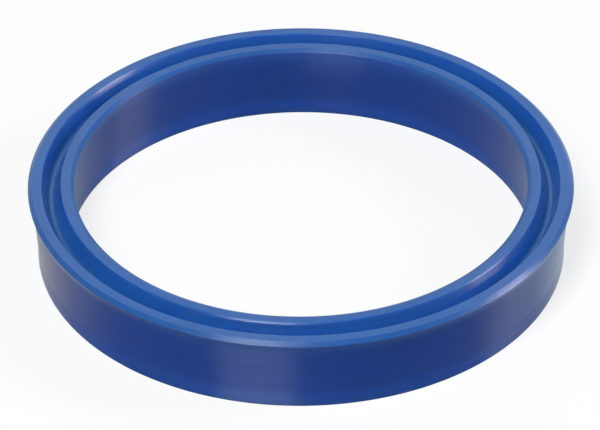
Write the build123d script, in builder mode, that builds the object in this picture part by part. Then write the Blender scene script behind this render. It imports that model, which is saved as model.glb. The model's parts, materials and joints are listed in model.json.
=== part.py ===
from build123d import *
import math
import os

# Polyurethane rod seal for a hydraulic cylinder, one turned ring. All sizes in mm.
# The heel stands on z = 0 around the Z axis and the two lips point up, towards the pressure.

# The gland that the seal is made for
rod_diameter = 70.0
gland_depth = 5.0  # radial room between the rod and the wall of its housing

# Heel
seal_height = 12.45  # from the heel face to the top of the inner lip
heel_rod_gap = 0.08  # radial, so that the heel never rubs on the rod
heel_wall_gap = 0.14  # radial, so that the heel drops freely into the housing
heel_land = 2.6  # height of the straight bands above the heel face
heel_edge_radius = 0.1

# Lips
rod_lip_squeeze = 0.9  # how far the inner lip reaches past the rod's surface
wall_lip_squeeze = 1.1  # how far the outer lip reaches past the housing's wall
outer_lip_drop = 0.15  # how far the outer lip stops below the inner one
bore_taper = 4.0  # degrees, from the inner heel band up to the inner lip
body_taper = 4.3  # degrees, from the outer heel band up to the outer lip
flare_height = 1.7  # hollow curve that throws each lip out to its edge
rod_bevel_width = 0.65
rod_bevel_height = 0.4
wall_bevel_width = 0.6
wall_bevel_height = 0.6

# Pressure groove between the lips
groove_width = 2.85  # at the top of the outer lip
groove_depth = 2.5  # below the top of the outer lip
groove_draft = 22.0  # degrees, each wall leans away from the middle
groove_edge_radius = 0.25

# Radii and levels that follow from them
rod_radius = rod_diameter / 2
wall_radius = rod_radius + gland_depth
heel_inner_radius = rod_radius + heel_rod_gap
heel_outer_radius = wall_radius - heel_wall_gap
rod_lip_radius = rod_radius - rod_lip_squeeze
wall_lip_radius = wall_radius + wall_lip_squeeze
outer_top = seal_height - outer_lip_drop
rod_edge_level = seal_height - rod_bevel_height
wall_edge_level = outer_top - wall_bevel_height
inner_waist_level = rod_edge_level - flare_height
outer_waist_level = wall_edge_level - flare_height
bore_slope = math.tan(math.radians(bore_taper))
body_slope = math.tan(math.radians(body_taper))
inner_waist_radius = heel_inner_radius - (inner_waist_level - heel_land) * bore_slope
outer_waist_radius = heel_outer_radius + (outer_waist_level - heel_land) * body_slope

# The groove lies midway between the two lip edges, and its round floor meets both walls smoothly
groove_centre = (rod_lip_radius + wall_lip_radius) / 2
lean = math.radians(groove_draft)
half_mouth = groove_width / 2
inner_mouth = groove_centre - half_mouth - outer_lip_drop * math.tan(lean)
outer_mouth = groove_centre + half_mouth
floor_radius = (half_mouth * math.cos(lean) - groove_depth * math.sin(lean)) / (1 - math.sin(lean))
floor_level = outer_top - groove_depth
wall_foot_level = floor_level + floor_radius * (1 - math.sin(lean))
wall_foot_reach = floor_radius * math.cos(lean)

with BuildPart() as rod_seal:
    with BuildSketch(Plane.XZ) as section:
        with BuildLine():
            Polyline(
                (inner_waist_radius, inner_waist_level),
                (heel_inner_radius, heel_land),
                (heel_inner_radius, 0),
                (heel_outer_radius, 0),
                (heel_outer_radius, heel_land),
                (outer_waist_radius, outer_waist_level),
            )
            TangentArc(
                (outer_waist_radius, outer_waist_level),
                (wall_lip_radius, wall_edge_level),
                tangent=(body_slope, 1),
            )
            Polyline(
                (wall_lip_radius, wall_edge_level),
                (wall_lip_radius - wall_bevel_width, outer_top),
                (outer_mouth, outer_top),
                (groove_centre + wall_foot_reach, wall_foot_level),
            )
            ThreePointArc(
                (groove_centre + wall_foot_reach, wall_foot_level),
                (groove_centre, floor_level),
                (groove_centre - wall_foot_reach, wall_foot_level),
            )
            Polyline(
                (groove_centre - wall_foot_reach, wall_foot_level),
                (inner_mouth, seal_height),
                (rod_lip_radius + rod_bevel_width, seal_height),
                (rod_lip_radius, rod_edge_level),
            )
            TangentArc(
                (inner_waist_radius, inner_waist_level),
                (rod_lip_radius, rod_edge_level),
                tangent=(-bore_slope, 1),
            )
        make_face()
        corners = section.vertices()
        heel_corners = corners.group_by(Axis.Y)[0]
        mouth_corners = [
            corners.sort_by_distance((inner_mouth, seal_height))[0],
            corners.sort_by_distance((outer_mouth, outer_top))[0],
        ]
        fillet(heel_corners, radius=heel_edge_radius)
        fillet(mouth_corners, radius=groove_edge_radius)
    revolve(axis=Axis.Z)

rod_seal.part.label = "rod_seal"

os.makedirs("parts", exist_ok=True)
export_step(rod_seal.part, "parts/rod_seal.step")
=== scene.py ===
import json
import math
import bmesh
import bpy
from mathutils import Euler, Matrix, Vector


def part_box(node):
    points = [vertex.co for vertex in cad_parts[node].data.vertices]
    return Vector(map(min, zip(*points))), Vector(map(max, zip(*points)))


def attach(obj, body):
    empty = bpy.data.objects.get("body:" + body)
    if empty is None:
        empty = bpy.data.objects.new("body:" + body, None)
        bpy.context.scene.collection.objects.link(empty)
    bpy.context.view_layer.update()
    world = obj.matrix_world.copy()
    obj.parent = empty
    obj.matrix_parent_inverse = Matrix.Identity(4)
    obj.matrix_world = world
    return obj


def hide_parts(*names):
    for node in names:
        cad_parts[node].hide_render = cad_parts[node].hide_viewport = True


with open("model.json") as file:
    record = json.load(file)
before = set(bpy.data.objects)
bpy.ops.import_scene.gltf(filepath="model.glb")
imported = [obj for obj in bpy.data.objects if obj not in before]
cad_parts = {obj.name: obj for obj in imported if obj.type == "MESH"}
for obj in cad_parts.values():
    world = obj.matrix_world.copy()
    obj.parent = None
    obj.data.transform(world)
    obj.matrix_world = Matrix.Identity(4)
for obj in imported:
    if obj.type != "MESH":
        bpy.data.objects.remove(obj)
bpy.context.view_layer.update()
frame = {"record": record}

# A blue polyurethane rod seal, turned in one piece, standing on its heel with the groove up.
# Everything is in metres; MM turns a size read off a drawing into metres.

MM = 0.001

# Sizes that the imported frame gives
_, high_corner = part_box("rod_seal")
lip_outer_radius = high_corner[0]
seal_height = high_corner[2]
mount_radius = {}
for mount in frame["record"]["mounts"]:
    mount_radius[mount["name"]] = mount["dims"].get("r_mm", 0) * MM
heel_inner_radius = mount_radius["rod_bore"]
heel_outer_radius = mount_radius["gland_wall"]

# Sizes of the section
lip_inner_radius = 34.1 * MM
heel_land = 2.6 * MM
bore_taper = math.radians(4.0)
body_taper = math.radians(4.3)
outer_lip_drop = 0.15 * MM
flare_height = 1.7 * MM
rod_bevel_width = 0.65 * MM
rod_bevel_height = 0.4 * MM
wall_bevel_width = 0.6 * MM
wall_bevel_height = 0.6 * MM
groove_width = 2.85 * MM
groove_depth = 2.5 * MM
groove_draft = math.radians(22.0)
groove_centre = (lip_outer_radius + lip_inner_radius) / 2

# Rounded edges, as radii
heel_round = 0.1 * MM
mouth_round = 0.15 * MM
lip_round = 0.04 * MM
land_blend = 8.0 * MM

# How finely the ring is divided
turn_steps = 400
round_steps = 6
flare_steps = 16
floor_steps = 10
widest_facet = 0.42 * MM

# Vertices closer than this are welded, and neighbouring curves stop short of each other by more
weld_gap = 0.001 * MM
flare_gap = 4 * weld_gap
floor_gap = 2 * weld_gap


def flare_corner(foot, taper, lip):
    """Where the taper line meets the flare's last tangent, and the curve's reach from there."""
    foot, lip = Vector(foot), Vector(lip)
    along = Vector((math.sin(taper), math.cos(taper)))
    chord = lip - foot
    turn = along.angle(chord)
    reach = chord.length / 2 / math.cos(turn)
    return foot + along * reach, reach


def round_reach(radius, before, corner, after):
    """Length of edge that a rounding of this radius takes on each side of a corner."""
    corner = Vector(corner)
    opening = (Vector(before) - corner).angle(Vector(after) - corner)
    return radius / math.tan(opening / 2)


def section_corners():
    """The section's corners in order: radius, level, rounding length and rounding segments."""
    outer_top = seal_height - outer_lip_drop
    outer_lip = (lip_outer_radius, outer_top - wall_bevel_height)
    inner_lip = (lip_inner_radius, seal_height - rod_bevel_height)
    outer_rise = outer_lip[1] - flare_height - heel_land
    inner_rise = inner_lip[1] - flare_height - heel_land
    outer_waist = (heel_outer_radius + outer_rise * math.tan(body_taper), heel_land + outer_rise)
    inner_waist = (heel_inner_radius - inner_rise * math.tan(bore_taper), heel_land + inner_rise)
    outer_flare, outer_reach = flare_corner(outer_waist, body_taper, outer_lip)
    inner_flare, inner_reach = flare_corner(inner_waist, -bore_taper, inner_lip)

    half_mouth = groove_width / 2
    half_floor = half_mouth - groove_depth * math.tan(groove_draft)
    floor_level = outer_top - groove_depth
    inner_mouth_radius = groove_centre - half_mouth - outer_lip_drop * math.tan(groove_draft)

    # Each corner with its rounding's radius; the flares and the groove's floor get theirs below
    plan = [
        ((heel_inner_radius, 0), heel_round),
        ((heel_outer_radius, 0), heel_round),
        ((heel_outer_radius, heel_land), land_blend),
        (tuple(outer_flare), None),
        (outer_lip, lip_round),
        ((lip_outer_radius - wall_bevel_width, outer_top), lip_round),
        ((groove_centre + half_mouth, outer_top), mouth_round),
        ((groove_centre + half_floor, floor_level), None),
        ((groove_centre - half_floor, floor_level), None),
        ((inner_mouth_radius, seal_height), mouth_round),
        ((lip_inner_radius + rod_bevel_width, seal_height), lip_round),
        (inner_lip, lip_round),
        (tuple(inner_flare), None),
        ((heel_inner_radius, heel_land), land_blend),
    ]
    outer_flare_at, outer_lip_at, inner_lip_at, inner_flare_at = 3, 4, 11, 12
    floor_corners_at = (7, 8)

    points = [point for point, _ in plan]
    corners = []
    for index, (point, radius) in enumerate(plan):
        reach, segments = 0, 1
        if radius:
            after = points[(index + 1) % len(points)]
            reach = round_reach(radius, points[index - 1], point, after)
            segments = round_steps
        corners.append([point[0], point[1], reach, segments])
    outer_lip_reach = corners[outer_lip_at][2]
    inner_lip_reach = corners[inner_lip_at][2]
    corners[outer_flare_at][2:] = [outer_reach - outer_lip_reach - flare_gap, flare_steps]
    corners[inner_flare_at][2:] = [inner_reach - inner_lip_reach - flare_gap, flare_steps]
    for index in floor_corners_at:
        corners[index][2:] = [half_floor - floor_gap, floor_steps]
    return corners


def placed(name, data):
    """A new object in the scene."""
    thing = bpy.data.objects.new(name, data)
    bpy.context.scene.collection.objects.link(thing)
    return thing


def mesh_object(name, mesh):
    """Turns a finished bmesh into an object in the scene."""
    data = bpy.data.meshes.new(name)
    mesh.to_mesh(data)
    mesh.free()
    return placed(name, data)


def turned_seal():
    """The ring: a flat section with its corners rounded, spun once around the axis."""
    mesh = bmesh.new()
    corners = section_corners()
    outline = [mesh.verts.new((radius, 0, level)) for radius, level, _, _ in corners]
    mesh.faces.new(outline)
    for vertex, (_, _, reach, segments) in zip(outline, corners):
        if reach:
            bmesh.ops.bevel(mesh, geom=[vertex], offset=reach, offset_type="OFFSET",
                            affect="VERTICES", segments=segments, profile=0.5, material=-1,
                            clamp_overlap=False)
    bmesh.ops.remove_doubles(mesh, verts=mesh.verts[:], dist=weld_gap)
    for edge in mesh.edges[:]:
        cuts = int(edge.calc_length() / widest_facet)
        if cuts:
            bmesh.ops.subdivide_edges(mesh, edges=[edge], cuts=cuts)
    bmesh.ops.delete(mesh, geom=mesh.faces[:], context="FACES_ONLY")
    bmesh.ops.spin(mesh, geom=mesh.verts[:] + mesh.edges[:], cent=(0, 0, 0), axis=(0, 0, 1),
                   dvec=(0, 0, 0), angle=math.tau, steps=turn_steps, use_merge=True,
                   use_duplicate=False)
    bmesh.ops.remove_doubles(mesh, verts=mesh.verts[:], dist=weld_gap)
    bmesh.ops.recalc_face_normals(mesh, faces=mesh.faces[:])
    for face in mesh.faces:
        face.smooth = True
    return mesh_object("seal_ring", mesh)


def cleared_tree(owner):
    """The node tree of a material or world, emptied."""
    owner.use_nodes = True
    owner.node_tree.nodes.clear()
    return owner.node_tree


def wire(tree, kind, inputs=None, **settings):
    """Adds one shader node; inputs are constants or sockets of earlier nodes."""
    node = tree.nodes.new(kind)
    for name, value in settings.items():
        setattr(node, name, value)
    for name, value in (inputs or {}).items():
        if isinstance(value, bpy.types.NodeSocket):
            tree.links.new(value, node.inputs[name])
        else:
            node.inputs[name].default_value = value
    return node


def math_node(tree, operation, *values):
    """One step of arithmetic on numbers."""
    return wire(tree, "ShaderNodeMath", dict(enumerate(values)), operation=operation).outputs[0]


def vector_node(tree, operation, inputs):
    """One step of arithmetic on vectors."""
    return wire(tree, "ShaderNodeVectorMath", inputs, operation=operation).outputs[0]


def noise(tree, place, scale, detail):
    """Soft noise between 0 and 1; the scale is in cells per metre."""
    inputs = {"Vector": place, "Scale": scale, "Detail": detail}
    return wire(tree, "ShaderNodeTexNoise", inputs).outputs["Fac"]


def ramp(tree, value, start, end, low=0.0, high=1.0, smooth=False):
    """Goes from low to high while the value goes from start to end, and stays there beyond."""
    inputs = {"Value": value, "From Min": start, "From Max": end, "To Min": low, "To Max": high}
    kind = "SMOOTHSTEP" if smooth else "LINEAR"
    return wire(tree, "ShaderNodeMapRange", inputs, interpolation_type=kind).outputs[0]


def blend(tree, share, first, second):
    """A mix of two colours; at a share of 1 it is the second."""
    inputs = {0: share, 6: first, 7: second}
    return wire(tree, "ShaderNodeMix", inputs, data_type="RGBA").outputs[2]


def polar(tree):
    """Object coordinates, their separate axes, and the distance from the ring's axis."""
    place = wire(tree, "ShaderNodeTexCoord").outputs["Object"]
    axes = wire(tree, "ShaderNodeSeparateXYZ", {0: place}).outputs
    squares = math_node(tree, "ADD", math_node(tree, "MULTIPLY", axes["X"], axes["X"]),
                        math_node(tree, "MULTIPLY", axes["Y"], axes["Y"]))
    return place, axes, math_node(tree, "SQRT", squares)


# Colours of the polyurethane: the walls' own blue, a lighter blue for the painted glow near the
# heel and the lips, and a lighter, greener blue for the painted light on faces that look up
wall_blue = (0.0100, 0.061, 0.365, 1)
painted_glow_blue = (0.0160, 0.118, 0.510, 1)
painted_top_light_blue = (0.0150, 0.115, 0.380, 1)
faces_up_between = (0.25, 0.5)

# Painted light: the walls are painted lighter towards the heel, for light bounced off the floor,
# and towards the lips, for light glowing through the thin lip, up to these shares
heel_glow_level = 4.2 * MM
heel_glow = 0.45
lip_glow_levels = (8.8 * MM, 11.8 * MM)
lip_glow = 0.9

# Patterns, in cells per metre, and the ranges that their noise is spread over
tool_ring_scale = 3200.0
tool_pass_scale = 1500.0
grain_scale = 5200.0
cloud_scale = 90.0
most_noise = (0.3, 0.7)
middle_noise = (0.35, 0.65)
mottle_range = (0.96, 1.04)
line_range = (0.93, 1.07)

# Gloss: roughness from the tool's rings and passes, smoother in the groove
satin_range = (0.35, 0.39)
pass_range = (-0.03, 0.04)
groove_smoothing = -0.14
groove_reach = (1.5 * MM, 1.65 * MM)

# Shares of the rings and the grain in the fine relief, and its depth
ring_relief = 0.6
grain_relief = 0.25
relief_strength = 0.2
relief_depth = 0.03 * MM


def polyurethane():
    """Satin blue cast polyurethane with the fine rings that a turning tool leaves."""
    material = bpy.data.materials.new("blue_polyurethane")
    tree = cleared_tree(material)
    place, axes, radius = polar(tree)
    level = axes["Z"]
    lathe = wire(tree, "ShaderNodeCombineXYZ", {"X": radius, "Y": level, "Z": 0.0}).outputs[0]
    around = vector_node(tree, "CROSS_PRODUCT", {0: (0, 0, 1), 1: place})
    lay = vector_node(tree, "NORMALIZE", {0: around})

    tool_rings = noise(tree, lathe, tool_ring_scale, 3.0)
    tool_passes = noise(tree, lathe, tool_pass_scale, 2.0)
    grain = noise(tree, place, grain_scale, 2.0)
    cloud = noise(tree, place, cloud_scale, 4.0)

    # Painted light: faces that look up are coloured lighter and greener, as if lit from above
    normal = wire(tree, "ShaderNodeTexCoord").outputs["Normal"]
    rise = wire(tree, "ShaderNodeSeparateXYZ", {0: normal}).outputs["Z"]
    painted_top_light = ramp(tree, rise, *faces_up_between, smooth=True)
    # Painted light: a lighter blue painted near the heel and the lips, blended in by the larger of
    # the two shares
    painted_heel_light = ramp(tree, level, heel_glow_level, 0.0, high=heel_glow, smooth=True)
    painted_lip_light = ramp(tree, level, *lip_glow_levels, high=lip_glow, smooth=True)
    thin = math_node(tree, "MAXIMUM", painted_heel_light, painted_lip_light)
    wall = blend(tree, thin, wall_blue, painted_glow_blue)
    blue = blend(tree, painted_top_light, wall, painted_top_light_blue)
    mottle = ramp(tree, cloud, *most_noise, *mottle_range)
    lines = ramp(tree, tool_passes, *most_noise, *line_range)
    shade = math_node(tree, "MULTIPLY", mottle, lines)
    tint = vector_node(tree, "SCALE", {0: blue, "Scale": shade})

    offset = math_node(tree, "ABSOLUTE", math_node(tree, "SUBTRACT", radius, groove_centre))
    near_centre = ramp(tree, offset, *groove_reach, low=1.0, high=0.0)
    raised = math_node(tree, "GREATER_THAN", level, seal_height / 2)
    in_groove = math_node(tree, "MULTIPLY", near_centre, raised)
    satin = ramp(tree, tool_rings, *most_noise, *satin_range)
    streaked = ramp(tree, tool_passes, *middle_noise, *pass_range)
    turned = math_node(tree, "ADD", satin, streaked)
    roughness = math_node(tree, "MULTIPLY_ADD", in_groove, groove_smoothing, turned)
    relief = math_node(tree, "ADD", math_node(tree, "MULTIPLY", tool_rings, ring_relief),
                       math_node(tree, "MULTIPLY", grain, grain_relief))
    bump = wire(tree, "ShaderNodeBump", {"Height": relief, "Strength": relief_strength,
                                         "Distance": relief_depth}).outputs[0]

    # The stretched gloss lies across the turning marks, under a thin smooth coat
    skin = wire(tree, "ShaderNodeBsdfPrincipled", {
        "Base Color": tint,
        "Roughness": roughness,
        "Normal": bump,
        "Tangent": lay,
        "IOR": 1.5,
        "Specular IOR Level": 0.1,
        "Anisotropic": 1.0,
        "Anisotropic Rotation": 0.25,
        "Coat Weight": 1.0,
        "Coat Roughness": 0.33,
        "Coat IOR": 1.25,
        "Subsurface Weight": 1.0,
        "Subsurface Radius": (0.25, 0.55, 1.0),
        "Subsurface Scale": 2.5 * MM,
    })
    wire(tree, "ShaderNodeOutputMaterial", {"Surface": skin.outputs[0]})
    return material


# The floor's white as the camera sees it and as it lights the ring, and its share of own light
floor_half_size = 2.0
seen_white = 0.95
bounce_white = 0.4
own_light = 0.75

# What the ring's gloss sees of the floor is painted: painted shade in front of the ring and inside
# it, painted light at the sides and behind, with a warm painted cast on the left and a cool one on
# the right
side_angles = (math.radians(42), math.radians(80))
painted_side_light = (0.40, 0.90)
inside_radii = (35 * MM, 38 * MM)
painted_inside_shade = (0.52, 0.60, 0.62, 1)
cast_reach = 30 * MM
painted_left_cast = (0.98, 0.96, 0.82, 1)
painted_right_cast = (1.03, 1.17, 1.17, 1)
plain_white = (1, 1, 1, 1)


def white_sweep():
    """The pale floor: white to the camera, with the ring's shadow kept, and painted light and shade
    in what the ring's gloss sees of it.
    """
    mesh = bmesh.new()
    bmesh.ops.create_grid(mesh, x_segments=1, y_segments=1, size=floor_half_size)
    floor = mesh_object("floor", mesh)
    material = bpy.data.materials.new("white_paper")
    tree = cleared_tree(material)
    path = wire(tree, "ShaderNodeLightPath").outputs
    seen = math_node(tree, "MAXIMUM", path["Is Camera Ray"], path["Is Transmission Ray"])
    shade = math_node(tree, "MULTIPLY_ADD", seen, seen_white - bounce_white, bounce_white)
    tone = wire(tree, "ShaderNodeCombineXYZ", {"X": shade, "Y": shade, "Z": shade}).outputs[0]
    paper = wire(tree, "ShaderNodeBsdfDiffuse", {"Color": tone})

    _, axes, radius = polar(tree)
    # Painted reflection: glossy rays see the floor painted darker in front and inside the ring and
    # lighter at the sides and behind
    forward = math_node(tree, "MULTIPLY", axes["Y"], -1.0)
    turn = math_node(tree, "ABSOLUTE", math_node(tree, "ARCTAN2", axes["X"], forward))
    painted_side_tone = ramp(tree, turn, *side_angles, *painted_side_light, smooth=True)
    beyond = ramp(tree, radius, *inside_radii)
    to_right = ramp(tree, axes["X"], -cast_reach, cast_reach)
    cast = blend(tree, to_right, painted_left_cast, painted_right_cast)
    painted_outside_tone = vector_node(tree, "SCALE", {0: cast, "Scale": painted_side_tone})
    painted_reflection = blend(tree, beyond, painted_inside_shade, painted_outside_tone)
    white = blend(tree, path["Is Glossy Ray"], plain_white, painted_reflection)
    glow = wire(tree, "ShaderNodeEmission", {"Color": white, "Strength": 1.0})
    share = math_node(tree, "MULTIPLY_ADD", seen, own_light, path["Is Glossy Ray"])
    surface = wire(tree, "ShaderNodeMixShader", {"Fac": share, 1: paper.outputs[0],
                                                 2: glow.outputs[0]})
    wire(tree, "ShaderNodeOutputMaterial", {"Surface": surface.outputs[0]})
    floor.data.materials.append(material)


def softbox(name, place, width, height, power, colour=(1, 1, 1), lights=True):
    """A rectangular studio lamp turned towards the ring; without lights, it only glints."""
    lamp = bpy.data.lights.new(name, "AREA")
    lamp.shape = "RECTANGLE"
    lamp.size, lamp.size_y = width, height
    lamp.energy = power
    lamp.color = colour
    holder = placed(name, lamp)
    holder.location = place
    holder.rotation_euler = (-Vector(place)).to_track_quat("-Z", "Y").to_euler()
    holder.visible_diffuse = lights


# Light of the open room on matt surfaces and in reflections; the camera sees it as white
room_light = 0.1
room_glint = 0.6


def studio():
    """Three boxes that light the ring, two low strips that only glint, and the open room."""
    softbox("front_left_box", place=(-0.212, -0.491, 0.843), width=0.27, height=0.6,
            power=8.8, colour=(0.98, 1.0, 0.98))
    softbox("back_box", place=(0.0, 0.75, 0.54), width=0.6, height=0.4, power=0.9)
    softbox("right_box", place=(0.832, 0.06, 0.556), width=0.24, height=0.3,
            power=2.9, colour=(0.97, 0.93, 1.0))
    softbox("front_strip", place=(-0.161, -0.526, 0.031), width=0.27, height=0.055,
            power=5.8, colour=(1.0, 1.1, 1.15), lights=False)
    softbox("right_strip", place=(0.70, -0.03, 0.20), width=0.24, height=0.09,
            power=8.5, colour=(1.0, 0.93, 1.0), lights=False)
    world = bpy.data.worlds.new("studio_air")
    bpy.context.scene.world = world
    tree = cleared_tree(world)
    path = wire(tree, "ShaderNodeLightPath").outputs
    seen = math_node(tree, "MAXIMUM", path["Is Camera Ray"], path["Is Transmission Ray"])
    indirect = math_node(tree, "MULTIPLY_ADD", path["Is Glossy Ray"], room_glint - room_light,
                         room_light)
    strength = math_node(tree, "MAXIMUM", seen, indirect)
    air = wire(tree, "ShaderNodeBackground", {"Color": plain_white, "Strength": strength})
    wire(tree, "ShaderNodeOutputWorld", {"Surface": air.outputs[0]})


# Camera, read from the photograph: the ellipses of the ring's edges fix where it stands
view_elevation = math.radians(35.56)
view_distance = 822 * MM
view_roll = math.radians(0.329)
lens_pixels = 5462.5
frame_width = 600
ring_centre_pixel = (300.8, 178.7)
frame_centre_pixel = (300, 215)
sensor_width = 36
nearest, farthest = 0.05, 10


def photo_camera():
    """Long lens that looks down on the ring and has the lip plane's centre where the photo does."""
    camera = bpy.data.cameras.new("photo_camera")
    camera.sensor_width = sensor_width
    camera.lens = lens_pixels / frame_width * sensor_width
    camera.clip_start = nearest
    camera.clip_end = farthest
    target = Vector((0, 0, seal_height - outer_lip_drop))
    towards_camera = Vector((0, -math.cos(view_elevation), math.sin(view_elevation)))
    aim = (-towards_camera).to_track_quat("-Z", "Y")
    across = math.atan((ring_centre_pixel[0] - frame_centre_pixel[0]) / lens_pixels)
    down = math.atan((frame_centre_pixel[1] - ring_centre_pixel[1]) / lens_pixels)
    nudge = Euler((-down, across, -view_roll)).to_quaternion()
    holder = placed("photo_camera", camera)
    holder.location = target + towards_camera * view_distance
    holder.rotation_euler = (aim @ nudge).to_euler()
    bpy.context.scene.camera = holder


bpy.context.scene.view_settings.view_transform = "Standard"
photo_camera()
white_sweep()
studio()

seal = turned_seal()
seal.data.materials.append(polyurethane())
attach(seal, "root")
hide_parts("rod_seal")
